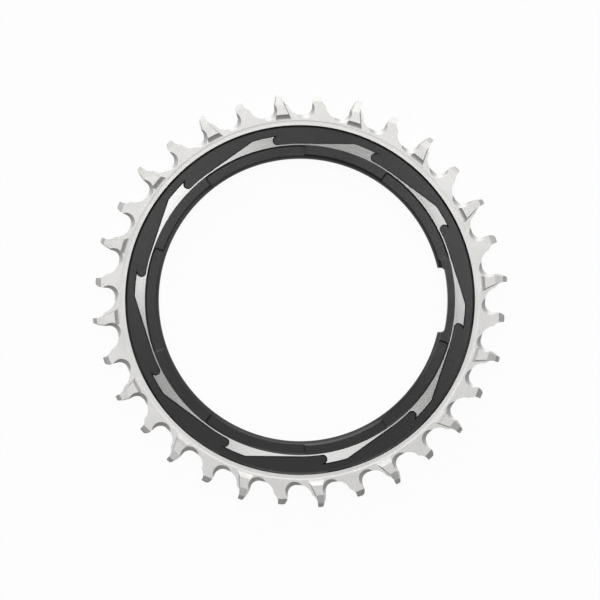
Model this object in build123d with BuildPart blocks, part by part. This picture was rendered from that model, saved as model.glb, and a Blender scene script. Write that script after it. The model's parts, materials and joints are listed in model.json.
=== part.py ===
from build123d import *
import os
from math import acos, atan2, cos, degrees, radians, sin, sqrt, tan

# Single narrow-wide chainring, machined from one aluminium plate. It lies on the back of its hub collar,
# its axis is +Z, its outboard face looks up and the notch in its bore is towards +X.
# All lengths are in millimetres and all angles in degrees, anticlockwise seen from the front.

# Chain and teeth: wide and narrow teeth take turns, so they are counted in pairs
chain_pitch = 12.7
tooth_pairs = 16
first_wide_tooth = 5.85
root_depth = 3.985
wide_tip_height = 3.66
narrow_tip_height = 2.67
wide_thickness = 3.7
narrow_thickness = 2.0

# Tooth outline, as offsets from the tooth's own centre line: the leading flank takes the roller
leading_half_width = 2.5
trailing_half_width = 2.0
seat_radius = 4.3
relief_radius = 2.85
kink_drop = 0.6
hook_rise = 2.2
hook_sagitta = 0.25
tip_lead = 0.95
tip_chamfer = 0.25
wide_tip_trail = 0.55
wide_crown_drop = 3.65
wide_crown_bulge = 0.22
narrow_tip_trail = 0.95
narrow_crown_drop = 2.25
narrow_crown_bulge = 0.35

# Turned faces of the wide teeth, as widths from the tip inwards
tip_bevel_width = 1.45
tip_bevel_drop = 0.85
shoulder_bevel_width = 2.6
shoulder_bevel_drop = 0.42
pad_length = 3.25
ramp_bend_run = 0.95
ramp_bend_rise = 0.2

# Pockets that thin the narrow teeth, with sloping walls cleared for the chain's link plates
pocket_leading_width = 1.45
pocket_leading_lean = 20.0
pocket_ledge = 0.2
pocket_wall_angle = 25.0
crown_lean = 15.0

# Flat bevels on the narrow teeth's tips
narrow_bevel_width = 1.85
narrow_bevel_lean = 8.0
narrow_bevel_slope = 20.0

# Rim between the teeth and the groove
tooth_face_depth = 1.55
rim_slope_width = 0.75
rim_drop = 0.07
rim_width = 1.08
groove_depth = 0.58
groove_wall_run = 0.55

# Hub: bore, chamfer, low lugs and the thin turned land round them
bore_radius = 46.5
bore_chamfer_width = 1.4
lug_depth = 3.0
lug_count = 5
lug_angle = 33.4
lug_height = 0.4
gap_corner_radius = 0.55
gap_wall_angle = 45.0
land_width = 0.38
collar_inset = 0.6

# Fins that stand in the groove
fin_count = 10
first_fin = 27.3
fin_height = 3.05
fin_rise = 1.05
fin_crest_angle = 7.38
fin_nose_start = 1.1
fin_nose_bulge = 0.45
fin_nose_corner = 0.35

# Notch through the bore
notch_width = 21.1
notch_depth = 2.0
notch_corner_radius = 1.3

# Heights above the back of the collar
tooth_plane_height = 3.6

# Room that cutters take beyond the metal, and metal that the turned blank has beyond the tips
overrun = 1.0
blank_allowance = 0.3

# Radii and levels that follow from the sizes above
tooth_count = 2 * tooth_pairs
tooth_angle = 360 / tooth_count
pair_angle = 360 / tooth_pairs
pitch_radius = chain_pitch / 2 / sin(radians(180 / tooth_count))
root_radius = pitch_radius - root_depth
wide_tip_radius = pitch_radius + wide_tip_height
blank_radius = wide_tip_radius + blank_allowance
narrow_tip_radius = pitch_radius + narrow_tip_height
bevel_radius = wide_tip_radius - tip_bevel_width
narrow_bevel_radius = narrow_tip_radius - narrow_bevel_width
shoulder_radius = bevel_radius - shoulder_bevel_width
pad_radius = shoulder_radius - pad_length
tooth_face_radius = root_radius - tooth_face_depth
ramp_bend_radius = tooth_face_radius + ramp_bend_run
rim_radius = tooth_face_radius - rim_slope_width
groove_radius = rim_radius - rim_width
chamfer_radius = bore_radius + bore_chamfer_width
land_inner_radius = chamfer_radius + lug_depth
land_radius = land_inner_radius + land_width
fin_radius = land_radius + fin_height
collar_radius = land_inner_radius - collar_inset
notch_radius = bore_radius + notch_depth

seat_across = leading_half_width + seat_radius
seat_height = sqrt((root_radius + seat_radius) ** 2 - seat_across**2)
relief_across = trailing_half_width + relief_radius
relief_height = sqrt((root_radius + relief_radius) ** 2 - relief_across**2)

narrow_face = tooth_plane_height + narrow_thickness / 2
wide_face = tooth_plane_height + wide_thickness / 2
wide_back = tooth_plane_height - wide_thickness / 2
ramp_bend_face = narrow_face + ramp_bend_rise
bevel_face = wide_face - shoulder_bevel_drop
blank_front = bevel_face - tip_bevel_drop * (1 + blank_allowance / tip_bevel_width)
blank_back = 2 * tooth_plane_height - blank_front
rim_face = narrow_face - rim_drop
groove_floor = rim_face - groove_depth
land_top = groove_floor + fin_rise
gap_floor = land_top - lug_height
chamfer_foot = land_top - bore_chamfer_width
gap_floor_radius = land_inner_radius - lug_height * tan(radians(gap_wall_angle))


def polar(radius, angle):
    """The point at this radius and angle."""
    return Vector(radius * cos(radians(angle)), radius * sin(radians(angle)))


def swing(radial, across, angle):
    """A point of a tooth or fin that points along +X, turned to its place round the axis."""
    return Vector(radial, across).rotate(Axis.Z, angle)


def arc_about(centre, start, end):
    """The short arc round a centre."""
    middle = (start - centre) + (end - centre)
    return ThreePointArc(start, centre + middle.normalized() * (start - centre).length, end)


def draw_tooth(angle, tip_radius, tip_trail, crown_drop, crown_bulge):
    """One tooth's outline, from the valley on its leading side to the valley on its trailing side."""
    seat_angle = degrees(atan2(-seat_across, seat_height))
    relief_angle = degrees(atan2(relief_across, relief_height))
    kink_height = pitch_radius - kink_drop
    kink_across = sqrt(seat_radius**2 - (kink_height - seat_height) ** 2) - seat_across

    seat_start = polar(root_radius, angle + seat_angle)
    kink = swing(kink_height, kink_across, angle)
    hook_end = swing(kink_height + hook_rise, -tip_lead, angle)
    lead_corner = swing(tip_radius - tip_chamfer, -tip_lead, angle)
    tip_start = swing(tip_radius, tip_chamfer - tip_lead, angle)
    tip_end = swing(tip_radius, tip_trail, angle)
    crown_end = swing(tip_radius - crown_drop, trailing_half_width, angle)
    flank_end = swing(relief_height, trailing_half_width, angle)
    relief_end = polar(root_radius, angle + relief_angle)
    next_seat = polar(root_radius, angle + tooth_angle + seat_angle)

    arc_about(swing(seat_height, -seat_across, angle), seat_start, kink)
    SagittaArc(kink, hook_end, hook_sagitta)
    Polyline(hook_end, lead_corner, tip_start, tip_end)
    SagittaArc(tip_end, crown_end, -crown_bulge)
    Line(crown_end, flank_end)
    arc_about(swing(relief_height, relief_across, angle), flank_end, relief_end)
    arc_about(Vector(0, 0), relief_end, next_seat)


# Outline of the whole toothed edge
with BuildSketch(Plane.XY.offset(-overrun)) as toothed_outline:
    with BuildLine():
        for pair in range(tooth_pairs):
            wide_at = first_wide_tooth + pair * pair_angle
            draw_tooth(wide_at, wide_tip_radius, wide_tip_trail, wide_crown_drop, wide_crown_bulge)
            narrow_at = wide_at + tooth_angle
            draw_tooth(
                narrow_at, narrow_tip_radius, narrow_tip_trail, narrow_crown_drop, narrow_crown_bulge
            )
    make_face()

# Section of the turned blank, from the bore's front chamfer round the rim to the back of the collar
with BuildSketch(Plane.XZ) as blank_section:
    with BuildLine():
        Polyline(
            (bore_radius, 0),
            (bore_radius, chamfer_foot),
            (chamfer_radius, land_top),
            (land_radius, land_top),
            (land_radius, groove_floor),
            (groove_radius - groove_wall_run, groove_floor),
            (groove_radius, rim_face),
            (rim_radius, rim_face),
            (tooth_face_radius, narrow_face),
            (ramp_bend_radius, ramp_bend_face),
            (pad_radius, wide_face),
            (shoulder_radius, wide_face),
            (bevel_radius, bevel_face),
            (blank_radius, blank_front),
            (blank_radius, blank_back),
            (shoulder_radius, wide_back),
            (collar_radius, wide_back),
            (collar_radius, 0),
            close=True,
        )
    make_face()

# Pocket from one wide tooth's trailing wall to the next wide tooth's leading wall, front and back
with BuildPart() as narrow_pocket:
    with BuildSketch(Plane.XY.offset(narrow_face)):
        with BuildLine():
            outer = wide_tip_radius + overrun
            crown = wide_tip_radius - wide_crown_drop
            trailing_wall = trailing_half_width - pocket_ledge
            leading_wall = -pocket_leading_width
            lean = tan(radians(pocket_leading_lean))
            trailing_foot = swing(rim_radius, trailing_wall, 0)
            crown_corner = swing(crown, trailing_wall, 0)
            trailing_top = swing(outer, trailing_wall - (outer - crown) * tan(radians(crown_lean)), 0)
            leading_top = swing(outer, leading_wall, pair_angle)
            leading_bend = swing(pitch_radius, leading_wall, pair_angle)
            leading_foot = swing(rim_radius, leading_wall - (pitch_radius - rim_radius) * lean, pair_angle)
            Polyline(trailing_foot, crown_corner, trailing_top)
            ThreePointArc(trailing_top, polar(outer, pair_angle / 2), leading_top)
            Polyline(leading_top, leading_bend, leading_foot)
            ThreePointArc(leading_foot, polar(rim_radius, pair_angle / 2), trailing_foot)
        make_face()
    extrude(amount=wide_face - narrow_face + overrun, taper=-pocket_wall_angle)
    mirror(about=Plane.XY.offset(tooth_plane_height))

# Wedge that bevels a narrow tooth's tip, front and back, with its edge leaning towards the trailing side
with BuildPart() as narrow_tip_wedge:
    across = polar(1, narrow_bevel_lean)
    bevel_plane = Plane((narrow_bevel_radius, 0, narrow_face), across, across.rotate(Axis.Z, -90))
    tip_reach = narrow_tip_radius + overrun - narrow_bevel_radius
    tip_fall = tip_reach * tan(radians(narrow_bevel_slope))
    tip_lift = overrun * tan(radians(narrow_bevel_slope))
    with BuildSketch(bevel_plane):
        with BuildLine():
            Polyline((-overrun, tip_lift), (tip_reach, tip_lift), (tip_reach, -tip_fall), close=True)
        make_face()
    extrude(amount=2 * trailing_half_width, both=True)
    mirror(about=Plane.XY.offset(tooth_plane_height))

# Floor of one gap between two lugs, open towards the bore
with BuildSketch() as gap_outline:
    gap_half_angle = (360 / lug_count - lug_angle) / 2
    with BuildLine():
        ThreePointArc(
            polar(gap_floor_radius, -gap_half_angle),
            polar(gap_floor_radius, 0),
            polar(gap_floor_radius, gap_half_angle),
        )
        Line(polar(gap_floor_radius, gap_half_angle), polar(bore_radius - overrun, gap_half_angle))
        ThreePointArc(
            polar(bore_radius - overrun, gap_half_angle),
            polar(bore_radius - overrun, 0),
            polar(bore_radius - overrun, -gap_half_angle),
        )
        Line(polar(bore_radius - overrun, -gap_half_angle), polar(gap_floor_radius, -gap_half_angle))
    make_face()
    fillet(gap_outline.vertices().sort_by_distance((0, 0))[-2:], gap_corner_radius)

# One fin: a crest, a straight back that runs into the land, and a nose left by the round end of the groove
with BuildSketch() as fin_outline:
    with BuildLine():
        root_circle = (land_inner_radius + land_radius) / 2
        back_end_angle = fin_crest_angle + degrees(acos(land_radius / fin_radius))
        nose_start_angle = -degrees(fin_nose_start / land_radius)
        nose_corner = polar(fin_radius, -degrees(fin_nose_corner / fin_radius))
        crest_end = polar(fin_radius, fin_crest_angle)
        back_end = polar(land_radius, back_end_angle)
        nose_start = polar(land_radius, nose_start_angle)
        ThreePointArc(nose_corner, polar(fin_radius, fin_crest_angle / 2), crest_end)
        Line(crest_end, back_end)
        Line(back_end, polar(root_circle, back_end_angle))
        ThreePointArc(
            polar(root_circle, back_end_angle),
            polar(root_circle, (back_end_angle + nose_start_angle) / 2),
            polar(root_circle, nose_start_angle),
        )
        Line(polar(root_circle, nose_start_angle), nose_start)
        ThreePointArc(nose_start, Vector(land_radius + fin_height / 2, fin_nose_bulge), nose_corner)
    make_face()

# Notch through the bore, with rounded inner corners
with BuildSketch(Plane.XY.offset(-overrun)) as notch_outline:
    Circle(notch_radius)
    with Locations((bore_radius, 0)):
        Rectangle(bore_radius, notch_width, mode=Mode.INTERSECT)
    fillet(notch_outline.vertices().group_by(Axis.X)[-1], notch_corner_radius)

with BuildPart() as chainring:
    revolve(blank_section.sketch, axis=Axis.Z)
    extrude(toothed_outline.sketch, amount=wide_face + 2 * overrun, mode=Mode.INTERSECT)
    with PolarLocations(0, tooth_pairs, start_angle=first_wide_tooth):
        add(narrow_pocket.part, mode=Mode.SUBTRACT)
    with PolarLocations(0, tooth_pairs, start_angle=first_wide_tooth + tooth_angle):
        add(narrow_tip_wedge.part, mode=Mode.SUBTRACT)

    # Fins, gaps with sloping walls between the lugs, and the notch
    with BuildSketch(Plane.XY.offset((groove_floor + wide_back) / 2)):
        with PolarLocations(0, fin_count, start_angle=first_fin):
            add(fin_outline.sketch)
    extrude(amount=fin_rise + (groove_floor - wide_back) / 2)
    with BuildSketch(Plane.XY.offset(gap_floor)):
        with PolarLocations(0, lug_count, start_angle=180 / lug_count):
            add(gap_outline.sketch)
    extrude(amount=lug_height + overrun, taper=-gap_wall_angle, mode=Mode.SUBTRACT)
    extrude(notch_outline.sketch, amount=wide_face + 2 * overrun, mode=Mode.SUBTRACT)

os.makedirs("parts", exist_ok=True)
chainring.part.label = "chainring"
export_step(chainring.part, "parts/chainring.step")
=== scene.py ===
# %% [markdown]
# # A machined chainring
#
# The object is a flat ring with wide and narrow teeth in turn, milled from one aluminium plate. It is black
# anodised, and then the teeth, the rim and the fins are cut bright again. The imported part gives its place
# and its size. This script makes the same ring again with finer facets, the way a workshop makes it: a
# turned blank, then cutters that go round it.

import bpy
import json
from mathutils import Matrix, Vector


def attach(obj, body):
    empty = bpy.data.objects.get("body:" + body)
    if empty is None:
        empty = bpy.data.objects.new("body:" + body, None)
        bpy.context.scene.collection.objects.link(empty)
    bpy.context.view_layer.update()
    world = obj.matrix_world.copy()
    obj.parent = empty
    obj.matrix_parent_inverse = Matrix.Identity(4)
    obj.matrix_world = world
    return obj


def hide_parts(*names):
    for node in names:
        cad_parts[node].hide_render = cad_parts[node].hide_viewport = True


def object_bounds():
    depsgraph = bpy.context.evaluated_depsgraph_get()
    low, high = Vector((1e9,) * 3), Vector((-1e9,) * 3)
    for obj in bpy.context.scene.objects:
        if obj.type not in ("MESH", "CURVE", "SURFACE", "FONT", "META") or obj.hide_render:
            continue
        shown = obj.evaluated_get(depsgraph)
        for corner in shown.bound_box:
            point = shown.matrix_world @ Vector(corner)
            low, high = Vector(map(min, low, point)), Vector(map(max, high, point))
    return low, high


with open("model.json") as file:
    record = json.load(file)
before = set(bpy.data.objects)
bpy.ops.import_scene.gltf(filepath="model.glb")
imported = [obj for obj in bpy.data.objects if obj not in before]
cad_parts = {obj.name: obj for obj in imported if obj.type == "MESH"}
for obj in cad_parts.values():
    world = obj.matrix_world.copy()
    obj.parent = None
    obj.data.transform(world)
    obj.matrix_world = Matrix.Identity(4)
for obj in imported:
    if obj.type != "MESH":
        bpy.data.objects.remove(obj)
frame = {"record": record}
cad_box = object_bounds()
print("packed box, in metres:", [tuple(round(c, 5) for c in corner) for corner in cad_box])

# %% [markdown]
# ## Tools for flat outlines
#
# Every cutter starts as an outline on paper: straight runs and arcs. A few small functions give the points
# of an arc, so each outline below is only the corners and radii that a drawing would show. Angles are in
# degrees, anticlockwise from +X, and lengths are written in millimetres times MM. An arc's step is the
# angle between two of its points: small round the ring's axis, where the radius is large, and large at
# tight corners.

# %% Outline helpers
import json
from math import acos, asin, atan2, ceil, cos, degrees, pi, radians, sin, sqrt, tan

import bmesh
import bpy
from mathutils import Vector

MM = 0.001
AXIS = Vector((0, 0))
ARC_STEP, RING_STEP, CORNER_STEP, HIDDEN_STEP = 5.0, 0.75, 10.0, 4.0


def polar(radius, angle):
    """The flat point at this radius and angle."""
    return Vector((radius * cos(radians(angle)), radius * sin(radians(angle))))


def swing(radial, across, angle):
    """A point of a tooth that points along +X, turned to its place round the axis."""
    turn = radians(angle)
    return Vector((radial * cos(turn) - across * sin(turn), radial * sin(turn) + across * cos(turn)))


def arc(centre, start, end, step=ARC_STEP):
    """Points of the short arc from start to end round a centre, with both ends."""
    first = atan2(*(start - centre).yx)
    sweep = (atan2(*(end - centre).yx) - first + pi) % (2 * pi) - pi
    count = max(1, ceil(abs(degrees(sweep)) / step))
    radius = (start - centre).length
    middle = [first + sweep * i / count for i in range(1, count)]
    return [start] + [centre + Vector((cos(a), sin(a))) * radius for a in middle] + [end]


def bulged(start, end, bulge, step=ARC_STEP):
    """Points of the arc from start to end that bulges this far from its chord, to the right of its way."""
    chord = end - start
    radius = (chord.length_squared / 4 + bulge**2) / (2 * abs(bulge))
    right = Vector((chord.y, -chord.x)).normalized() * (1 if bulge > 0 else -1)
    centre = (start + end) / 2 + right * (abs(bulge) - radius)
    return arc(centre, start, end, step)


def through(start, middle, end, step=ARC_STEP):
    """Points of the arc from start to end through a point between them."""
    a, b = middle - start, end - start
    offset_x = b.y * a.length_squared - a.y * b.length_squared
    offset_y = a.x * b.length_squared - b.x * a.length_squared
    centre = start + Vector((offset_x, offset_y)) / (2 * a.cross(b))
    return arc(centre, start, middle, step)[:-1] + arc(centre, middle, end, step)


print("outline helpers ready, ring arcs in steps of", RING_STEP, "degrees")

# %% [markdown]
# ## Solids that remember their finish
#
# Each solid is a closed mesh. Two whole numbers are kept on every face: its finish (black, bare or turned)
# and its patch, the one smooth surface that it belongs to. Blender's mesh booleans carry such numbers
# through a cut, so at the end each face of the finished ring still knows which tool made it.

# %% Solid helpers
BLACK, BARE, TURNED = range(3)
patches = []


def new_patch(name):
    """A number for one more smooth surface."""
    patches.append(name)
    return len(patches) - 1


def make_solid(name, points, faces, finishes, patch_numbers):
    """A closed mesh object whose faces keep their finish and patch."""
    mesh = bpy.data.meshes.new(name)
    mesh.from_pydata(points, [], faces)
    for label, values in (("finish", finishes), ("patch", patch_numbers)):
        mesh.attributes.new(label, "INT", "FACE").data.foreach_set("value", values)
    shaper = bmesh.new()
    shaper.from_mesh(mesh)
    bmesh.ops.recalc_face_normals(shaper, faces=shaper.faces)
    shaper.to_mesh(mesh)
    shaper.free()
    solid = bpy.data.objects.new(name, mesh)
    bpy.context.scene.collection.objects.link(solid)
    return solid


def grown(outline, distance):
    """A closed anticlockwise outline moved outwards by a distance, its corners kept sharp."""
    moved = []
    for i, here in enumerate(outline):
        arriving = (here - outline[i - 1]).normalized()
        leaving = (outline[(i + 1) % len(outline)] - here).normalized()
        before, after = Vector((arriving.y, -arriving.x)), Vector((leaving.y, -leaving.x))
        moved.append(here + (before + after) * distance / (1 + before.dot(after)))
    return moved


def prism(name, runs, low, high, side=BARE, top=BARE, low_grow=0.0, high_grow=0.0):
    """An upright prism on a closed outline, each run one smooth side. A grown end makes sloping walls."""
    outline, side_patches = [], []
    for run in runs:
        outline += run[:-1]
        side_patches += [new_patch(name + " side")] * (len(run) - 1)
    count = len(outline)
    points = [(p.x, p.y, low) for p in grown(outline, low_grow)]
    points += [(p.x, p.y, high) for p in grown(outline, high_grow)]
    faces = [(i, (i + 1) % count, count + (i + 1) % count, count + i) for i in range(count)]
    faces += [tuple(range(count - 1, -1, -1)), tuple(range(count, 2 * count))]
    patch_numbers = side_patches + [new_patch(name + " low end"), new_patch(name + " high end")]
    return make_solid(name, points, faces, [side] * count + [top, top], patch_numbers)


print("solid helpers ready")

# %% [markdown]
# ## The turned blank
#
# On a lathe the ring is only a section swept round an axis. The section below is a list of corners from the
# bore, over the low lugs, the land, the groove and the rim, to the tooth tips, and back along the hidden
# side. The bore's chamfer, the groove's outer wall, the rim's soft step, the ramp up to each wide tooth and
# the rounded tip are short curves, each given by a formula. A section made this way is easy to read and to
# correct, one surface a line.

# %% Sizes of the blank
bore_radius = next(m for m in frame["record"]["mounts"] if m["name"] == "bore")["dims"]["r_mm"] * MM
wide_face = cad_box[1].z
chain_pitch, tooth_pairs = 12.7 * MM, 16
tooth_angle = 180 / tooth_pairs
pitch_radius = chain_pitch / 2 / sin(radians(tooth_angle / 2))
root_radius = pitch_radius - 3.985 * MM
wide_tip_radius = pitch_radius + 3.66 * MM
tooth_plane = wide_face - 1.85 * MM
narrow_face = tooth_plane + 1.0 * MM
wide_back = 2 * tooth_plane - wide_face
bevel_radius = wide_tip_radius - 1.45 * MM
shoulder_radius = bevel_radius - 2.6 * MM
pad_radius = shoulder_radius - 3.31 * MM
tooth_face_radius = root_radius - 1.55 * MM
rim_radius = tooth_face_radius - 0.75 * MM
groove_radius = rim_radius - 1.03 * MM
rim_face = narrow_face - 0.07 * MM
groove_floor = rim_face - 0.58 * MM
land_top = groove_floor + 1.05 * MM
lug_height = 0.4 * MM
gap_floor = land_top - lug_height
chamfer_width = 1.4 * MM
chamfer_radius = bore_radius + chamfer_width
land_inner_radius = chamfer_radius + 3.05 * MM
land_radius = land_inner_radius + 0.33 * MM
collar_radius = land_inner_radius - 0.6 * MM
blank_radius = wide_tip_radius + 0.3 * MM
bevel_face = wide_face - 0.42 * MM
tip_drop = 0.85 * MM
tip_face = bevel_face - tip_drop
blank_edge = tooth_plane + 0.1 * MM
blank_front = bevel_face - tip_drop * (blank_radius - bevel_radius) / (wide_tip_radius - bevel_radius)
groove_wall_run, back_edge = 0.72 * MM, 0.3 * MM
print("pitch radius:", round(pitch_radius / MM, 3), "mm, bore radius:", round(bore_radius / MM, 2), "mm")


# %% Curves of the section
def soft_step(t):
    """Rises from 0 to 1 with level ends."""
    return t * t * (3 - 2 * t)


def hollow(t):
    """Rises from 0 to 1, ever steeper."""
    return t * t


def rounded(t, straight=0.75):
    """Goes from 0 to 1: a straight share, and the rest in a steep turn at the end."""
    return straight * t + (1 - straight) * t**8


def slightly_hollow(t):
    """Rises from 0 to 1, a little steeper at the end."""
    return t**1.4


def eased(t):
    """Rises from 0 to 1, steeply first and gently at the end."""
    return 1.3 * t - 0.3 * t * t


def curve_points(start, end, shape, steps=8):
    """Points of a section curve from start towards end, without end, whose rise follows shape."""
    rise = end[1] - start[1]
    run = end[0] - start[0]
    return [(start[0] + run * i / steps, start[1] + rise * shape(i / steps)) for i in range(steps)]


print("rise at half way: groove wall", round(slightly_hollow(0.5), 2), "- chamfer", round(eased(0.5), 2))

# %% Section of the blank
chamfer_foot, lug_edge = (bore_radius, land_top - chamfer_width), (chamfer_radius, land_top)
groove_foot, groove_edge = (groove_radius - groove_wall_run, groove_floor), (groove_radius, rim_face)
rim_foot, tooth_foot = (rim_radius, rim_face), (tooth_face_radius, narrow_face)
pad_foot = (pad_radius, wide_face)
bevel_foot, tip_edge = (bevel_radius, bevel_face), (wide_tip_radius, tip_face)
section = [
    ("bore wall", BLACK, [(bore_radius, back_edge)]),
    ("bore chamfer", BLACK, curve_points(chamfer_foot, lug_edge, eased)),
    ("lug top", BLACK, [lug_edge]),
    ("land", TURNED, [(land_inner_radius, land_top)]),
    ("land wall", BLACK, [(land_radius, land_top)]),
    ("groove floor", BLACK, [(land_radius, groove_floor)]),
    ("groove wall", BLACK, curve_points(groove_foot, groove_edge, slightly_hollow)),
    ("rim band", BARE, [groove_edge]),
    ("rim step", BARE, curve_points(rim_foot, tooth_foot, soft_step)),
    ("hollow ramp", BARE, curve_points(tooth_foot, pad_foot, hollow, 10)),
    ("pad", BARE, [pad_foot]),
    ("shoulder bevel", BARE, [(shoulder_radius, wide_face)]),
    ("rounded tip", BARE, curve_points(bevel_foot, tip_edge, rounded, 10)),
    ("tip overrun", BARE, [tip_edge]),
    ("blank edge", BARE, [(blank_radius, blank_edge)]),
    ("back bevel", BARE, [(blank_radius, 2 * tooth_plane - blank_front)]),
    ("back rim", BARE, [(shoulder_radius, wide_back)]),
    ("back web", BLACK, [(groove_radius, wide_back)]),
    ("collar wall", BLACK, [(collar_radius, wide_back)]),
    ("collar seat", BLACK, [(collar_radius, cad_box[0].z)]),
    ("bore back edge", BLACK, [(bore_radius + back_edge, cad_box[0].z)]),
]
groove_span = [round(radius / MM, 2) for radius in (land_radius, groove_radius)]
print("section surfaces:", len(section), "- groove between radii", groove_span, "mm")

# %% [markdown]
# ## The thread, and the sweep
#
# Such a ring screws onto its crank, so the bore has a fine thread. It could be a coil cut out of the wall.
# Here the wall itself is a grid of points, and each point's radius follows a wave that climbs one pitch a
# turn and dies away at both ends of the wall. That leaves one clean mesh. Every other surface of the
# section is swept round as it is.

# %% Thread in the bore
THREAD_ROWS = 30
thread_pitch, thread_depth = 1.0 * MM, 0.32 * MM
thread_length = chamfer_foot[1] - back_edge
thread_runout = 0.2 * thread_length


def thread_radius(height, turn):
    """The bore's radius at a height and a share of a turn."""
    from_back, from_front = height - back_edge, back_edge + thread_length - height
    fade = min(1.0, from_back / thread_runout, from_front / thread_runout)
    wave = 0.5 - 0.5 * cos(2 * pi * (height / thread_pitch - turn))
    return bore_radius + thread_depth * max(0.0, fade) * wave


corners, corner_marks = [], []
for name, finish, points in section:
    mark = (finish, new_patch(name))
    if name == "bore wall":
        points = [(bore_radius, back_edge + thread_length * row / THREAD_ROWS) for row in range(THREAD_ROWS)]
    corners += points
    corner_marks += [mark] * len(points)
print("thread:", round(thread_length / thread_pitch, 1), "turns, section points:", len(corners))

# %% Sweep the section round the axis
TURN_STEPS = 480
blank_points, blank_faces, blank_marks = [], [], []
row_length = len(corners)
for step in range(TURN_STEPS):
    turn = step / TURN_STEPS
    for i, (radius, height) in enumerate(corners):
        if 0 < i < THREAD_ROWS:
            radius = thread_radius(height, turn)
        spot = polar(radius, 360 * turn)
        blank_points.append((spot.x, spot.y, height))
    here, there = step * row_length, (step + 1) % TURN_STEPS * row_length
    for i in range(row_length):
        after = (i + 1) % row_length
        blank_faces.append((here + i, here + after, there + after, there + i))
        blank_marks.append(corner_marks[i])
blank = make_solid("turned_blank", blank_points, blank_faces, *map(list, zip(*blank_marks)))
print("turned blank:", len(blank.data.polygons), "faces")

# %% [markdown]
# ## The toothed outline
#
# Seen from the front, every tooth leans into the pull of the chain: a round seat and a hooked flank lead, a
# crown and a smaller round valley trail. Wide and narrow teeth differ only at their tips. The outline of
# all teeth makes one tall prism, and what the blank and the prism share is the toothed plate.

# %% Outline of one tooth
ROOT_STEP = 1.0
seat_radius, relief_radius = 4.3 * MM, 2.85 * MM
leading_half_width, trailing_half_width = 2.5 * MM, 2.0 * MM
kink_height = pitch_radius - 0.6 * MM
hook_rise, hook_hollow = 2.2 * MM, 0.25 * MM
tip_lead, tip_chamfer = 0.95 * MM, 0.25 * MM
narrow_tip_radius = pitch_radius + 2.67 * MM
wide_tip = {"radius": wide_tip_radius, "trail": 0.55 * MM, "drop": 3.65 * MM, "bulge": 0.22 * MM}
narrow_tip = {"radius": narrow_tip_radius, "trail": 0.95 * MM, "drop": 2.25 * MM, "bulge": 0.35 * MM}

seat_across = leading_half_width + seat_radius
seat_height = sqrt((root_radius + seat_radius) ** 2 - seat_across**2)
relief_across = trailing_half_width + relief_radius
relief_height = sqrt((root_radius + relief_radius) ** 2 - relief_across**2)
seat_angle = degrees(atan2(-seat_across, seat_height))
relief_angle = degrees(atan2(relief_across, relief_height))
kink_across = sqrt(seat_radius**2 - (kink_height - seat_height) ** 2) - seat_across


def tooth_runs(angle, tip):
    """The runs of one tooth's outline, from the valley before it to the valley behind it."""
    kink = swing(kink_height, kink_across, angle)
    hook_end = swing(kink_height + hook_rise, -tip_lead, angle)
    lead_corner = swing(tip["radius"] - tip_chamfer, -tip_lead, angle)
    tip_start = swing(tip["radius"], tip_chamfer - tip_lead, angle)
    tip_end = swing(tip["radius"], tip["trail"], angle)
    crown_end = swing(tip["radius"] - tip["drop"], trailing_half_width, angle)
    flank_end = swing(relief_height, trailing_half_width, angle)
    relief_end = polar(root_radius, angle + relief_angle)
    seat_centre = swing(seat_height, -seat_across, angle)
    relief_centre = swing(relief_height, relief_across, angle)
    return [
        arc(seat_centre, polar(root_radius, angle + seat_angle), kink),
        bulged(kink, hook_end, -hook_hollow),
        [hook_end, lead_corner],
        [lead_corner, tip_start],
        [tip_start, tip_end],
        bulged(tip_end, crown_end, tip["bulge"]),
        [crown_end, flank_end],
        arc(relief_centre, flank_end, relief_end),
        arc(AXIS, relief_end, polar(root_radius, angle + tooth_angle + seat_angle), ROOT_STEP),
    ]


print("teeth:", 2 * tooth_pairs, "- valleys at radius", round(root_radius / MM, 2), "mm")

# %% Prism of the teeth
OVERRUN = 1.0 * MM
first_wide_tooth = 5.85
runs = []
for pair in range(tooth_pairs):
    wide_at = first_wide_tooth + 2 * tooth_angle * pair
    runs += tooth_runs(wide_at, wide_tip) + tooth_runs(wide_at + tooth_angle, narrow_tip)
outline = prism("tooth_outline", runs, cad_box[0].z - OVERRUN, wide_face + OVERRUN)
print("toothed outline:", len(outline.data.vertices) // 2, "points round", 2 * tooth_pairs, "teeth")

# %% [markdown]
# ## Cutters for one tooth
#
# Three small cutters shape the teeth. A pocket with sloping walls thins each narrow tooth, front and back.
# A wedge with a curved face rounds its tip. A cone-shaped cutter dips in at the foot of every tooth's
# trailing side and leaves a sloping crescent there. Each cutter is a closed solid, made once beside the
# first tooth, and the nodes below carry it round the ring.

# %% Outline of a pocket
POCKET_CLEAR = 0.3 * MM
POCKET_DRAFT = tan(radians(27.0))
trailing_wall, leading_wall = trailing_half_width - 0.2 * MM, -1.45 * MM
leading_lean, crown_lean = tan(radians(20.0)), tan(radians(15.0))
pocket_outer = wide_tip_radius + OVERRUN
crown_height = wide_tip_radius - wide_tip["drop"]
next_wide = 2 * tooth_angle
trailing_foot = swing(rim_radius, trailing_wall, 0)
trailing_top = swing(pocket_outer, trailing_wall - (pocket_outer - crown_height) * crown_lean, 0)
leading_top = swing(pocket_outer, leading_wall, next_wide)
leading_foot = swing(rim_radius, leading_wall - (pitch_radius - rim_radius) * leading_lean, next_wide)
inner_arc = arc(AXIS, leading_foot, trailing_foot, RING_STEP)
outer_arc = arc(AXIS, trailing_top, leading_top, HIDDEN_STEP)
pocket_floor = [swing(crown_height, trailing_wall, 0)] + outer_arc
pocket_floor += [swing(pitch_radius, leading_wall, next_wide)] + inner_arc
floor_lift = narrow_face - tooth_plane
wall_height = wide_face + POCKET_CLEAR - narrow_face
pocket_mouth = grown(pocket_floor, wall_height * POCKET_DRAFT)
side_count = len(pocket_floor)
print("pocket outline:", side_count, "sides, floor", round(narrow_face / MM, 2), "mm up")

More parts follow.
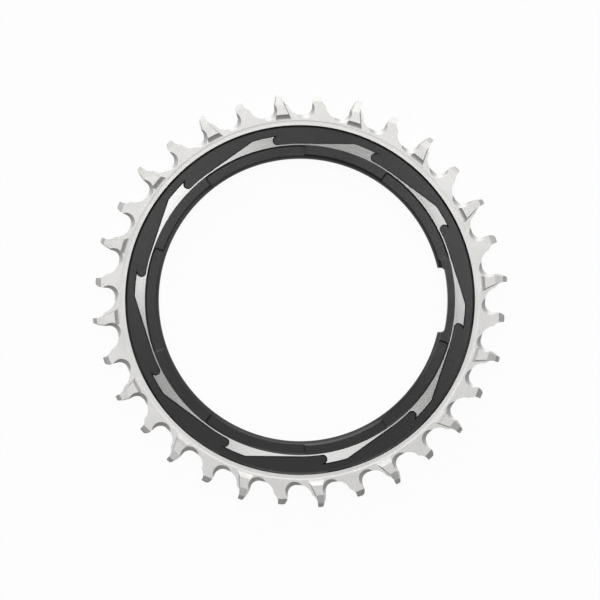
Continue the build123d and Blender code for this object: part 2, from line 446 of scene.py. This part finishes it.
# %% Pocket, front and back
LONG_SIDE = chain_pitch / 8
pocket_points, pocket_faces, pocket_patches = [], [], []
for side_sign in (1, -1):
    low = len(pocket_points)
    high = low + side_count
    for ring_of_points, lift in ((pocket_floor, floor_lift), (pocket_mouth, floor_lift + wall_height)):
        pocket_points += [(p.x, p.y, tooth_plane + side_sign * lift) for p in ring_of_points]
    arc_wall = new_patch("pocket inner wall")
    for i in range(side_count):
        after = (i + 1) % side_count
        flat_wall = (pocket_floor[after] - pocket_floor[i]).length > LONG_SIDE
        pocket_faces.append((low + i, low + after, high + after, high + i))
        pocket_patches.append(new_patch("pocket wall") if flat_wall else arc_wall)
    pocket_faces += [tuple(range(low, high)), tuple(range(high, high + side_count))]
    pocket_patches += [new_patch("pocket floor"), new_patch("pocket mouth")]
pocket = make_solid("narrow_pocket", pocket_points, pocket_faces, [BARE] * len(pocket_faces), pocket_patches)
print("pocket:", len(pocket_faces), "faces")

# %% Tip wedge
WEDGE_STEPS = 10
narrow_bevel_radius = narrow_tip_radius - 1.85 * MM
bevel_lean, bevel_slope, bevel_straight = 8.0, tan(radians(22.0)), 0.85
bevel_run = narrow_tip_radius - narrow_bevel_radius
wedge_line = [(-OVERRUN, OVERRUN * bevel_slope), (0.0, 0.0)]
for step in range(1, WEDGE_STEPS + 1):
    t = step / WEDGE_STEPS
    wedge_line.append((bevel_run * t, -bevel_run * bevel_slope * rounded(t, bevel_straight)))
wedge_line += [(bevel_run + OVERRUN, wedge_line[-1][1]), (bevel_run + OVERRUN, OVERRUN * bevel_slope)]
wedge_count = len(wedge_line)
wedge_points, wedge_faces, wedge_patches = [], [], []
for side_sign in (1, -1):
    base = len(wedge_points)
    far = base + wedge_count
    for across in (-2 * trailing_half_width, 2 * trailing_half_width):
        for along, lift in wedge_line:
            spot = swing(along, across, bevel_lean) + Vector((narrow_bevel_radius, 0))
            wedge_points.append((spot.x, spot.y, tooth_plane + side_sign * (floor_lift + lift)))
    wedge_faces += [tuple(range(base, far)), tuple(range(far, far + wedge_count))]
    wedge_patches += [new_patch("wedge end"), new_patch("wedge end")]
    rounded_patch = new_patch("rounded narrow tip")
    for i in range(wedge_count):
        after = (i + 1) % wedge_count
        wedge_faces.append((base + i, base + after, far + after, far + i))
        wedge_patches.append(rounded_patch if 1 <= i <= WEDGE_STEPS else new_patch("wedge side"))
wedge = make_solid("tip_wedge", wedge_points, wedge_faces, [BARE] * len(wedge_faces), wedge_patches)
print("tip wedge from", round(narrow_bevel_radius / MM, 2), "to", round(narrow_tip_radius / MM, 2), "mm")

# %% Valley scoop
SCOOP_STEPS = 96
scoop_out, scoop_across = 62.6 * MM, 4.12 * MM
scoop_centre = swing(scoop_out, scoop_across, 0)
scoop_rim, scoop_slope = 3.05 * MM, radians(28.0)
scoop_depth = 0.9 * MM
scoop_line = [
    (scoop_rim - scoop_depth / tan(scoop_slope), narrow_face - scoop_depth),
    (scoop_rim, narrow_face),
    (scoop_rim, wide_face + OVERRUN),
]
scoop_points, scoop_faces, scoop_patches = [], [], []
for radius, height in scoop_line:
    for i in range(SCOOP_STEPS):
        spot = scoop_centre + polar(radius, 360 * i / SCOOP_STEPS)
        scoop_points.append((spot.x, spot.y, height))
cone_patch = new_patch("scoop cone")
for row in range(len(scoop_line) - 1):
    low, high = row * SCOOP_STEPS, (row + 1) * SCOOP_STEPS
    for i in range(SCOOP_STEPS):
        after = (i + 1) % SCOOP_STEPS
        scoop_faces.append((low + i, low + after, high + after, high + i))
        scoop_patches.append(cone_patch)
scoop_faces += [tuple(range(SCOOP_STEPS)), tuple(range(len(scoop_points) - SCOOP_STEPS, len(scoop_points)))]
scoop_patches += [new_patch("scoop floor"), new_patch("scoop end")]
scoop = make_solid("valley_scoop", scoop_points, scoop_faces, [BARE] * len(scoop_faces), scoop_patches)
print("scoop:", round(2 * scoop_rim / MM, 2), "mm wide at the face")

# %% [markdown]
# ## Fins, lug gaps and the notch
#
# A fin has a crest that keeps to a circle, a straight back that runs into the thin land, and a nose left by
# the round end of the groove's cutter. Its top is skimmed bright, its sides stay black. Between the five
# low lugs the hub is milled down, with rounded corners, and one wide notch is cut through the bore.

# %% Fin
FIN_DRAFT = tan(radians(20.0))
fin_count, first_fin, crest_angle = 10, 27.3, 7.38
fin_radius = land_radius + 2.9 * MM
fin_foot = (groove_floor + wide_back) / 2
root_circle = (land_inner_radius + land_radius) / 2
nose_length, nose_lead, nose_hollow = 1.1 * MM, 0.35 * MM, 0.45 * MM
nose_start_angle = -degrees(nose_length / land_radius)
back_end_angle = crest_angle + degrees(acos(land_radius / fin_radius))
nose_start = polar(land_radius, nose_start_angle)
nose_middle = Vector(((land_radius + fin_radius) / 2, nose_hollow))
nose_corner = polar(fin_radius, -degrees(nose_lead / fin_radius))
crest_end, back_end = polar(fin_radius, crest_angle), polar(land_radius, back_end_angle)
root_start, root_end = polar(root_circle, back_end_angle), polar(root_circle, nose_start_angle)
fin_runs = [
    arc(AXIS, nose_corner, crest_end, RING_STEP),
    [crest_end, back_end],
    [back_end, root_start],
    arc(AXIS, root_start, root_end, RING_STEP),
    [root_end, nose_start],
    through(nose_start, nose_middle, nose_corner),
]
fin_grow = FIN_DRAFT * (land_top - fin_foot)
fin = prism("fin", fin_runs, fin_foot, land_top, side=BLACK, top=TURNED, low_grow=fin_grow)
print("fins:", fin_count, "with a crest at radius", round(fin_radius / MM, 2), "mm")

# %% Gap between two lugs
GAP_DRAFT = tan(radians(56.0))
lug_count, lug_angle, gap_corner = 5, 33.15, 0.55 * MM
gap_radius = land_inner_radius - lug_height * GAP_DRAFT
gap_half = (360 / lug_count - lug_angle) / 2
corner_circle = gap_radius - gap_corner
round_half = gap_half - degrees(asin(gap_corner / corner_circle))
corner_run = sqrt(corner_circle**2 - gap_corner**2)
gap_inside = bore_radius - OVERRUN
upper_round, lower_round = polar(gap_radius, round_half), polar(gap_radius, -round_half)
upper_side, lower_side = polar(corner_run, gap_half), polar(corner_run, -gap_half)
upper_inside, lower_inside = polar(gap_inside, gap_half), polar(gap_inside, -gap_half)
gap_runs = [
    arc(AXIS, lower_round, upper_round, RING_STEP),
    arc(polar(corner_circle, round_half), upper_round, upper_side, CORNER_STEP),
    [upper_side, upper_inside],
    arc(AXIS, upper_inside, lower_inside, HIDDEN_STEP),
    [lower_inside, lower_side],
    arc(polar(corner_circle, -round_half), lower_side, lower_round, CORNER_STEP),
]
gap_grow = GAP_DRAFT * (lug_height + OVERRUN)
gap_top = land_top + OVERRUN
gap = prism("lug_gap", gap_runs, gap_floor, gap_top, side=BLACK, top=BLACK, high_grow=gap_grow)
print("gaps:", lug_count, "of", round(2 * gap_half, 1), "degrees")

# %% Notch in the bore
notch_half_width, notch_corner = 10.55 * MM, 1.3 * MM
notch_radius, notch_inside = bore_radius + 2.0 * MM, 0.9 * bore_radius
corner_y = notch_half_width - notch_corner
corner_x = sqrt((notch_radius - notch_corner) ** 2 - corner_y**2)
notch_half_angle = degrees(atan2(corner_y, corner_x))
upper_round, lower_round = polar(notch_radius, notch_half_angle), polar(notch_radius, -notch_half_angle)
upper_side, lower_side = (Vector((corner_x, y)) for y in (notch_half_width, -notch_half_width))
upper_inside, lower_inside = (Vector((notch_inside, y)) for y in (notch_half_width, -notch_half_width))
notch_runs = [
    arc(AXIS, lower_round, upper_round, RING_STEP),
    arc(Vector((corner_x, corner_y)), upper_round, upper_side, CORNER_STEP),
    [upper_side, upper_inside],
    [upper_inside, lower_inside],
    [lower_inside, lower_side],
    arc(Vector((corner_x, -corner_y)), lower_side, lower_round, CORNER_STEP),
]
notch_low, notch_top = cad_box[0].z - OVERRUN, land_top + OVERRUN
notch = prism("bore_notch", notch_runs, notch_low, notch_top, side=BLACK, top=BLACK)
print("notch:", round(2 * notch_half_width / MM, 1), "mm wide")

# %% [markdown]
# ## Finishes
#
# Three finishes meet on one piece of metal. Black anodising is a dark glassy skin on blasted metal: a dull
# sheen over a fine grain. The bare teeth and rim are metal with a fine satin grain. The skimmed fins show
# the lathe's circular lines, so their gloss is stretched: the shader's tangent runs round the axis. All
# patterns use object coordinates, so they stay on the metal from any side.

# %% Node helper and grain
def add_node(tree, kind, inputs=None, **settings):
    """A node with its settings made and its inputs set or linked."""
    node = tree.nodes.new(kind)
    for name, value in settings.items():
        setattr(node, name, value)
    for name, value in (inputs or {}).items():
        if isinstance(value, bpy.types.NodeSocket):
            tree.links.new(value, node.inputs[name])
        else:
            node.inputs[name].default_value = value
    return node


def new_finish(name):
    """An empty material: its node tree, its shader and the object coordinates."""
    material = bpy.data.materials.new(name)
    material.use_nodes = True
    tree = material.node_tree
    shader = tree.nodes["Principled BSDF"]
    place = add_node(tree, "ShaderNodeTexCoord").outputs["Object"]
    return material, tree, shader, place


def grain(tree, place, size):
    """A noise value whose spots are about this size."""
    inputs = {"Vector": place, "Scale": 1 / size, "Detail": 2.0}
    return add_node(tree, "ShaderNodeTexNoise", inputs).outputs["Fac"]


def spread(tree, value, low, high):
    """The noise value's middle range, stretched from low to high."""
    limits = {"Value": value, "From Min": 0.3, "From Max": 0.7, "To Min": low, "To Max": high}
    return add_node(tree, "ShaderNodeMapRange", limits).outputs["Result"]


def tint(tree, value, dark, light):
    """A colour that runs from dark to light with a value."""
    mix = add_node(tree, "ShaderNodeMix", {"Factor": value}, data_type="RGBA")
    mix.inputs["A"].default_value = (*dark, 1)
    mix.inputs["B"].default_value = (*light, 1)
    return next(s for s in mix.outputs if s.type == "RGBA")


def relief(tree, shader, height, depth_mm):
    """Fine relief of this depth, given to the shader's normal."""
    bump = add_node(tree, "ShaderNodeBump", {"Height": height, "Strength": 1.0, "Distance": depth_mm * MM})
    tree.links.new(bump.outputs["Normal"], shader.inputs["Normal"])


FINE_GRAIN = 0.45 * MM
print("node helpers ready, fine grain of", round(FINE_GRAIN / MM, 2), "mm")

# %% Black anodising
black, tree, shader, place = new_finish("black_anodise")
fine = grain(tree, place, FINE_GRAIN)
broad = grain(tree, place, 9.0 * MM)
dark, light = (0.0035, 0.0035, 0.0037), (0.0065, 0.0065, 0.0067)
tree.links.new(tint(tree, spread(tree, fine, 0, 1), dark, light), shader.inputs["Base Color"])
tree.links.new(spread(tree, broad, 0.21, 0.27), shader.inputs["Roughness"])
shader.inputs["IOR"].default_value = 1.55
relief(tree, shader, fine, 0.018)
print("finish:", black.name)

# %% Bare aluminium
bare, tree, shader, place = new_finish("bare_aluminium")
fine = grain(tree, place, FINE_GRAIN)
broad = grain(tree, place, 7.0 * MM)
dark, light = (0.64, 0.635, 0.62), (0.735, 0.73, 0.715)
shader.inputs["Metallic"].default_value = 1.0
tree.links.new(tint(tree, spread(tree, fine, 0, 1), dark, light), shader.inputs["Base Color"])
tree.links.new(spread(tree, broad, 0.43, 0.49), shader.inputs["Roughness"])
relief(tree, shader, fine, 0.005)
print("finish:", bare.name)

# %% Turned aluminium
turned, tree, shader, place = new_finish("turned_aluminium")
parts = add_node(tree, "ShaderNodeSeparateXYZ", {"Vector": place}).outputs
flat = add_node(tree, "ShaderNodeCombineXYZ", {"X": parts["X"], "Y": parts["Y"]}).outputs["Vector"]
out_from_axis = add_node(tree, "ShaderNodeVectorMath", {0: flat}, operation="LENGTH")
round_axis = add_node(tree, "ShaderNodeVectorMath", {0: (0, 0, 1), 1: flat}, operation="CROSS_PRODUCT")
tangent = add_node(tree, "ShaderNodeVectorMath", {0: round_axis.outputs["Vector"]}, operation="NORMALIZE")
ring_place = add_node(tree, "ShaderNodeCombineXYZ", {"X": out_from_axis.outputs["Value"]})
lines = grain(tree, ring_place.outputs["Vector"], 0.25 * MM)
dark, light = (0.64, 0.64, 0.63), (0.75, 0.75, 0.74)
shader.inputs["Metallic"].default_value = 1.0
shader.inputs["Anisotropic"].default_value = 0.3
tree.links.new(tangent.outputs["Vector"], shader.inputs["Tangent"])
tree.links.new(tint(tree, spread(tree, lines, 0, 1), dark, light), shader.inputs["Base Color"])
tree.links.new(spread(tree, lines, 0.12, 0.14), shader.inputs["Roughness"])
relief(tree, shader, lines, 0.0003)
print("finish:", turned.name)

# %% [markdown]
# ## Machining with Geometry Nodes
#
# What repeats is repeated by nodes. One small group makes a ring of copies: points, one instance on each,
# turned by an equal share of a circle, and realised into one mesh. The main tree is the order of work in
# the shop: keep what lies inside the toothed outline, cut the pockets, wedges and scoops, add the fins,
# mill the gaps and the notch. Last, each face gets the material of its finish.

# %% Ring of copies
def new_tree(name, inputs):
    """A geometry tree with named inputs, and its input and output nodes."""
    tree = bpy.data.node_groups.new(name, "GeometryNodeTree")
    for label, kind in inputs:
        tree.interface.new_socket(label, in_out="INPUT", socket_type=kind)
    tree.interface.new_socket("Geometry", in_out="OUTPUT", socket_type="NodeSocketGeometry")
    return tree, tree.nodes.new("NodeGroupInput"), tree.nodes.new("NodeGroupOutput")


ring_tree, given, result = new_tree(
    "ring of copies",
    [("Shape", "NodeSocketObject"), ("Copies", "NodeSocketInt"), ("First angle", "NodeSocketFloat")],
)
shape = add_node(ring_tree, "GeometryNodeObjectInfo", {"Object": given.outputs["Shape"]})
spots = add_node(ring_tree, "GeometryNodePoints", {"Count": given.outputs["Copies"]})
number = add_node(ring_tree, "GeometryNodeInputIndex")
share = add_node(ring_tree, "ShaderNodeMath", {0: 2 * pi, 1: given.outputs["Copies"]}, operation="DIVIDE")
angle = add_node(
    ring_tree,
    "ShaderNodeMath",
    {0: number.outputs["Index"], 1: share.outputs["Value"], 2: given.outputs["First angle"]},
    operation="MULTIPLY_ADD",
)
turn = add_node(ring_tree, "ShaderNodeCombineXYZ", {"Z": angle.outputs["Value"]})
copies = add_node(
    ring_tree,
    "GeometryNodeInstanceOnPoints",
    {
        "Points": spots.outputs["Points"],
        "Instance": shape.outputs["Geometry"],
        "Rotation": turn.outputs["Vector"],
    },
)
realised = add_node(ring_tree, "GeometryNodeRealizeInstances", {"Geometry": copies.outputs["Instances"]})
ring_tree.links.new(realised.outputs["Geometry"], result.inputs["Geometry"])
print("node group:", ring_tree.name)

# %% Inputs of the machining tree
machining, given, result = new_tree(
    "chainring machining",
    [
        ("Blank", "NodeSocketGeometry"),
        ("Tooth outline", "NodeSocketObject"),
        ("Narrow pocket", "NodeSocketObject"),
        ("Tip wedge", "NodeSocketObject"),
        ("Valley scoop", "NodeSocketObject"),
        ("Fin", "NodeSocketObject"),
        ("Lug gap", "NodeSocketObject"),
        ("Bore notch", "NodeSocketObject"),
        ("Tooth pairs", "NodeSocketInt"),
        ("Teeth", "NodeSocketInt"),
        ("Fins", "NodeSocketInt"),
        ("Lugs", "NodeSocketInt"),
        ("First wide tooth", "NodeSocketFloat"),
        ("First narrow tooth", "NodeSocketFloat"),
        ("First fin", "NodeSocketFloat"),
        ("First gap", "NodeSocketFloat"),
        ("Black finish", "NodeSocketMaterial"),
        ("Bare finish", "NodeSocketMaterial"),
        ("Turned finish", "NodeSocketMaterial"),
    ],
)
print("machining tree:", len(machining.interface.items_tree) - 1, "inputs")


# %% Operations of the tree
def ring(shape_name, copies_name, angle_name):
    """A ring of copies of one cutter, by the names of the tree's inputs."""
    inputs = {
        "Shape": given.outputs[shape_name],
        "Copies": given.outputs[copies_name],
        "First angle": given.outputs[angle_name],
    }
    return add_node(machining, "GeometryNodeGroup", inputs, node_tree=ring_tree).outputs["Geometry"]


def once(shape_name):
    """One solid as it stands."""
    inputs = {"Object": given.outputs[shape_name]}
    return add_node(machining, "GeometryNodeObjectInfo", inputs).outputs["Geometry"]


def work(operation, metal, *tools):
    """The metal after a boolean with these tools."""
    node = add_node(machining, "GeometryNodeMeshBoolean", operation=operation, solver="MANIFOLD")
    if operation == "DIFFERENCE":
        machining.links.new(metal, node.inputs["Mesh 1"])
    else:
        tools = (metal, *tools)
    for tool in tools:
        machining.links.new(tool, node.inputs["Mesh 2"])
    return node.outputs["Mesh"]


print("operations ready: ring, once, work")

# %% Order of work
metal = work("INTERSECT", given.outputs["Blank"], once("Tooth outline"))
metal = work("DIFFERENCE", metal, ring("Narrow pocket", "Tooth pairs", "First wide tooth"))
metal = work("DIFFERENCE", metal, ring("Tip wedge", "Tooth pairs", "First narrow tooth"))
metal = work("DIFFERENCE", metal, ring("Valley scoop", "Teeth", "First wide tooth"))
metal = work("UNION", metal, ring("Fin", "Fins", "First fin"))
metal = work("DIFFERENCE", metal, ring("Lug gap", "Lugs", "First gap"), once("Bore notch"))
metal = add_node(machining, "GeometryNodeRealizeInstances", {"Geometry": metal}).outputs["Geometry"]
print("nodes for the work:", len(machining.nodes))


# %% Materials by finish
def painted(metal, finish_name, **selection):
    """The metal with one finish, on all faces or on those selected."""
    inputs = {"Geometry": metal, "Material": given.outputs[finish_name], **selection}
    return add_node(machining, "GeometryNodeSetMaterial", inputs).outputs["Geometry"]


metal = painted(metal, "Black finish")
marks = add_node(machining, "GeometryNodeInputNamedAttribute", {"Name": "finish"}, data_type="INT")
finish_mark = next(socket for socket in marks.outputs if socket.type == "INT")
for number, finish_name in ((BARE, "Bare finish"), (TURNED, "Turned finish")):
    chosen = add_node(machining, "FunctionNodeCompare", data_type="INT", operation="EQUAL")
    compared = [socket for socket in chosen.inputs if socket.type == "INT"]
    machining.links.new(finish_mark, compared[0])
    compared[1].default_value = number
    metal = painted(metal, finish_name, Selection=chosen.outputs["Result"])
machining.links.new(metal, result.inputs["Geometry"])
print("nodes with the materials:", len(machining.nodes))

# %% Run the tree
settings = {
    "Tooth outline": outline,
    "Narrow pocket": pocket,
    "Tip wedge": wedge,
    "Valley scoop": scoop,
    "Fin": fin,
    "Lug gap": gap,
    "Bore notch": notch,
    "Tooth pairs": tooth_pairs,
    "Teeth": 2 * tooth_pairs,
    "Fins": fin_count,
    "Lugs": lug_count,
    "First wide tooth": radians(first_wide_tooth),
    "First narrow tooth": radians(first_wide_tooth + tooth_angle),
    "First fin": radians(first_fin),
    "First gap": radians(180 / lug_count),
    "Black finish": black,
    "Bare finish": bare,
    "Turned finish": turned,
}
modifier = blank.modifiers.new("machining", "NODES")
modifier.node_group = machining
for socket in machining.interface.items_tree:
    if socket.in_out == "INPUT" and socket.name in settings:
        modifier[socket.identifier] = settings[socket.name]
scene_state = bpy.context.evaluated_depsgraph_get()
machined = bpy.data.meshes.new_from_object(
    blank.evaluated_get(scene_state), preserve_all_data_layers=True, depsgraph=scene_state
)
blank.modifiers.remove(modifier)
for slot in reversed(range(len(machined.materials))):
    if machined.materials[slot] is None:
        machined.materials.pop(index=slot)
for tool in (blank, outline, pocket, wedge, scoop, fin, gap, notch):
    bpy.data.objects.remove(tool)
print("machined ring:", len(machined.polygons), "faces,", [m.name for m in machined.materials])

# %% [markdown]
# ## Crisp edges, smooth curves
#
# Shading is smooth inside a patch and sharp between two patches, as on real machined metal. That is why
# each face kept its patch number: a shallow bevel stays crisp although its angle is small, and a round
# valley stays smooth although it is made of facets.

# %% Shade by patch
SHARP_ANGLE = radians(40)
shaper = bmesh.new()
shaper.from_mesh(machined)
patch_layer = shaper.faces.layers.int["patch"]
for face in shaper.faces:
    face.smooth = True
sharp_count = 0
for edge in shaper.edges:
    sides = edge.link_faces
    same = len(sides) == 2 and sides[0][patch_layer] == sides[1][patch_layer]
    edge.smooth = same and edge.calc_face_angle() < SHARP_ANGLE
    sharp_count += not edge.smooth
open_edges = sum(not edge.is_manifold for edge in shaper.edges)
triangles = sum(len(face.verts) - 2 for face in shaper.faces)
shaper.to_mesh(machined)
shaper.free()
for label in ("patch", "finish"):
    machined.attributes.remove(machined.attributes[label])
print("triangles:", triangles, "- sharp edges:", sharp_count, "- open edges:", open_edges)

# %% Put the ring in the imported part's place
chainring = bpy.data.objects.new("machined_chainring", machined)
bpy.context.scene.collection.objects.link(chainring)
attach(chainring, "root")
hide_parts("chainring")
print(chainring.name, "stands for the packed chainring")

# %% [markdown]
# ## The studio
#
# The ring lies on a white table and the camera hangs straight above it on a long lens, so there is hardly
# any perspective. Large soft panels stand behind it and to its left. Low strips near the edge of the table
# light the bevels that lean towards them. Small lamps high up make the bright fans on the turned fins, and
# the room is dim, so the bevels that face no lamp stay grey. The table shows plain white to the camera and
# in reflections, apart from a small share that keeps the ring's shadow.

# %% Table
table_gap, table_size, white_share = 0.02 * MM, 8.0, 0.94
bpy.ops.mesh.primitive_plane_add(size=table_size, location=(0, 0, cad_box[0].z - table_gap))
table = bpy.context.object
table.name = "table"
table_paint = bpy.data.materials.new("white_table")
table_paint.use_nodes = True
tree = table_paint.node_tree
paint = tree.nodes["Principled BSDF"]
paint.inputs["Base Color"].default_value = (0.9, 0.9, 0.9, 1)
paint.inputs["Roughness"].default_value = 0.8
rays = add_node(tree, "ShaderNodeLightPath").outputs
seen = rays["Is Camera Ray"]
for kind in ("Is Glossy Ray", "Is Transmission Ray"):
    seen = add_node(tree, "ShaderNodeMath", {0: seen, 1: rays[kind]}, operation="MAXIMUM").outputs["Value"]
share = add_node(tree, "ShaderNodeMath", {0: seen, 1: white_share}, operation="MULTIPLY").outputs["Value"]
glow = add_node(tree, "ShaderNodeEmission", {"Color": (1, 1, 1, 1), "Strength": 1.0}).outputs["Emission"]
blend = add_node(tree, "ShaderNodeMixShader", {0: share, 1: paint.outputs["BSDF"], 2: glow})
tree.links.new(blend.outputs["Shader"], tree.nodes["Material Output"].inputs["Surface"])
table.data.materials.append(table_paint)
print("table at", round(table.location.z / MM, 3), "mm")

# %% Lamps and room
FAR, NEAR = 1.6, 0.9


def soft_lamp(name, azimuth, from_zenith, distance, width, depth, radiance):
    """A soft panel that faces the ring: angles in degrees, lengths in metres, radiance as its brightness."""
    light = bpy.data.lights.new(name, "AREA")
    light.shape = "RECTANGLE"
    light.size, light.size_y = width, depth
    light.energy = radiance * pi * width * depth
    lamp = bpy.data.objects.new(name, light)
    spot = polar(distance * sin(radians(from_zenith)), azimuth)
    lamp.location = (spot.x, spot.y, distance * cos(radians(from_zenith)))
    lamp.rotation_euler = (0, radians(from_zenith), radians(azimuth))
    lamp.visible_camera = False
    bpy.context.scene.collection.objects.link(lamp)


soft_lamp("back_panel", 105, 50, FAR, 1.85, 1.85, 1.05)
soft_lamp("right_back_panel", 60, 32, FAR, 0.92, 0.92, 1.35)
soft_lamp("left_front_panel", 200, 22, FAR, 0.56, 0.56, 2.5)
soft_lamp("back_strip", 90, 80, FAR, 0.5, 2.0, 2.2)
soft_lamp("left_strip", 165, 80, FAR, 0.5, 1.0, 1.8)
soft_lamp("right_strip", 30, 80, FAR, 0.5, 2.0, 0.74)
soft_lamp("front_right_strip", 330, 85, FAR, 0.25, 1.1, 1.3)
soft_lamp("upper_left", 140, 13, NEAR, 0.19, 0.19, 2.5)
soft_lamp("upper_right", 20, 13, NEAR, 0.19, 0.19, 3.9)
soft_lamp("upper_front", 270, 6, NEAR, 0.11, 0.11, 1.0)
soft_lamp("inner_left", 150, 6, NEAR, 0.11, 0.11, 0.75)
world = bpy.data.worlds.new("dim_room")
world.use_nodes = True
room = world.node_tree.nodes["Background"]
room.inputs["Color"].default_value = (1, 1, 1, 1)
room.inputs["Strength"].default_value = 0.22
bpy.context.scene.world = world

# %% Camera
PHOTO_SIZE = 600
mm_per_pixel = 0.3284
camera_height = 1.2
camera_data = bpy.data.cameras.new("camera")
camera_data.sensor_width = 36
camera_data.lens = camera_data.sensor_width * (camera_height - narrow_face) / (PHOTO_SIZE * mm_per_pixel * MM)
camera = bpy.data.objects.new("camera", camera_data)
camera.location = (0, 0, camera_height)
bpy.context.scene.collection.objects.link(camera)
bpy.context.scene.camera = camera
bpy.context.scene.view_settings.view_transform = "Standard"
print("camera lens:", round(camera_data.lens, 1), "mm")
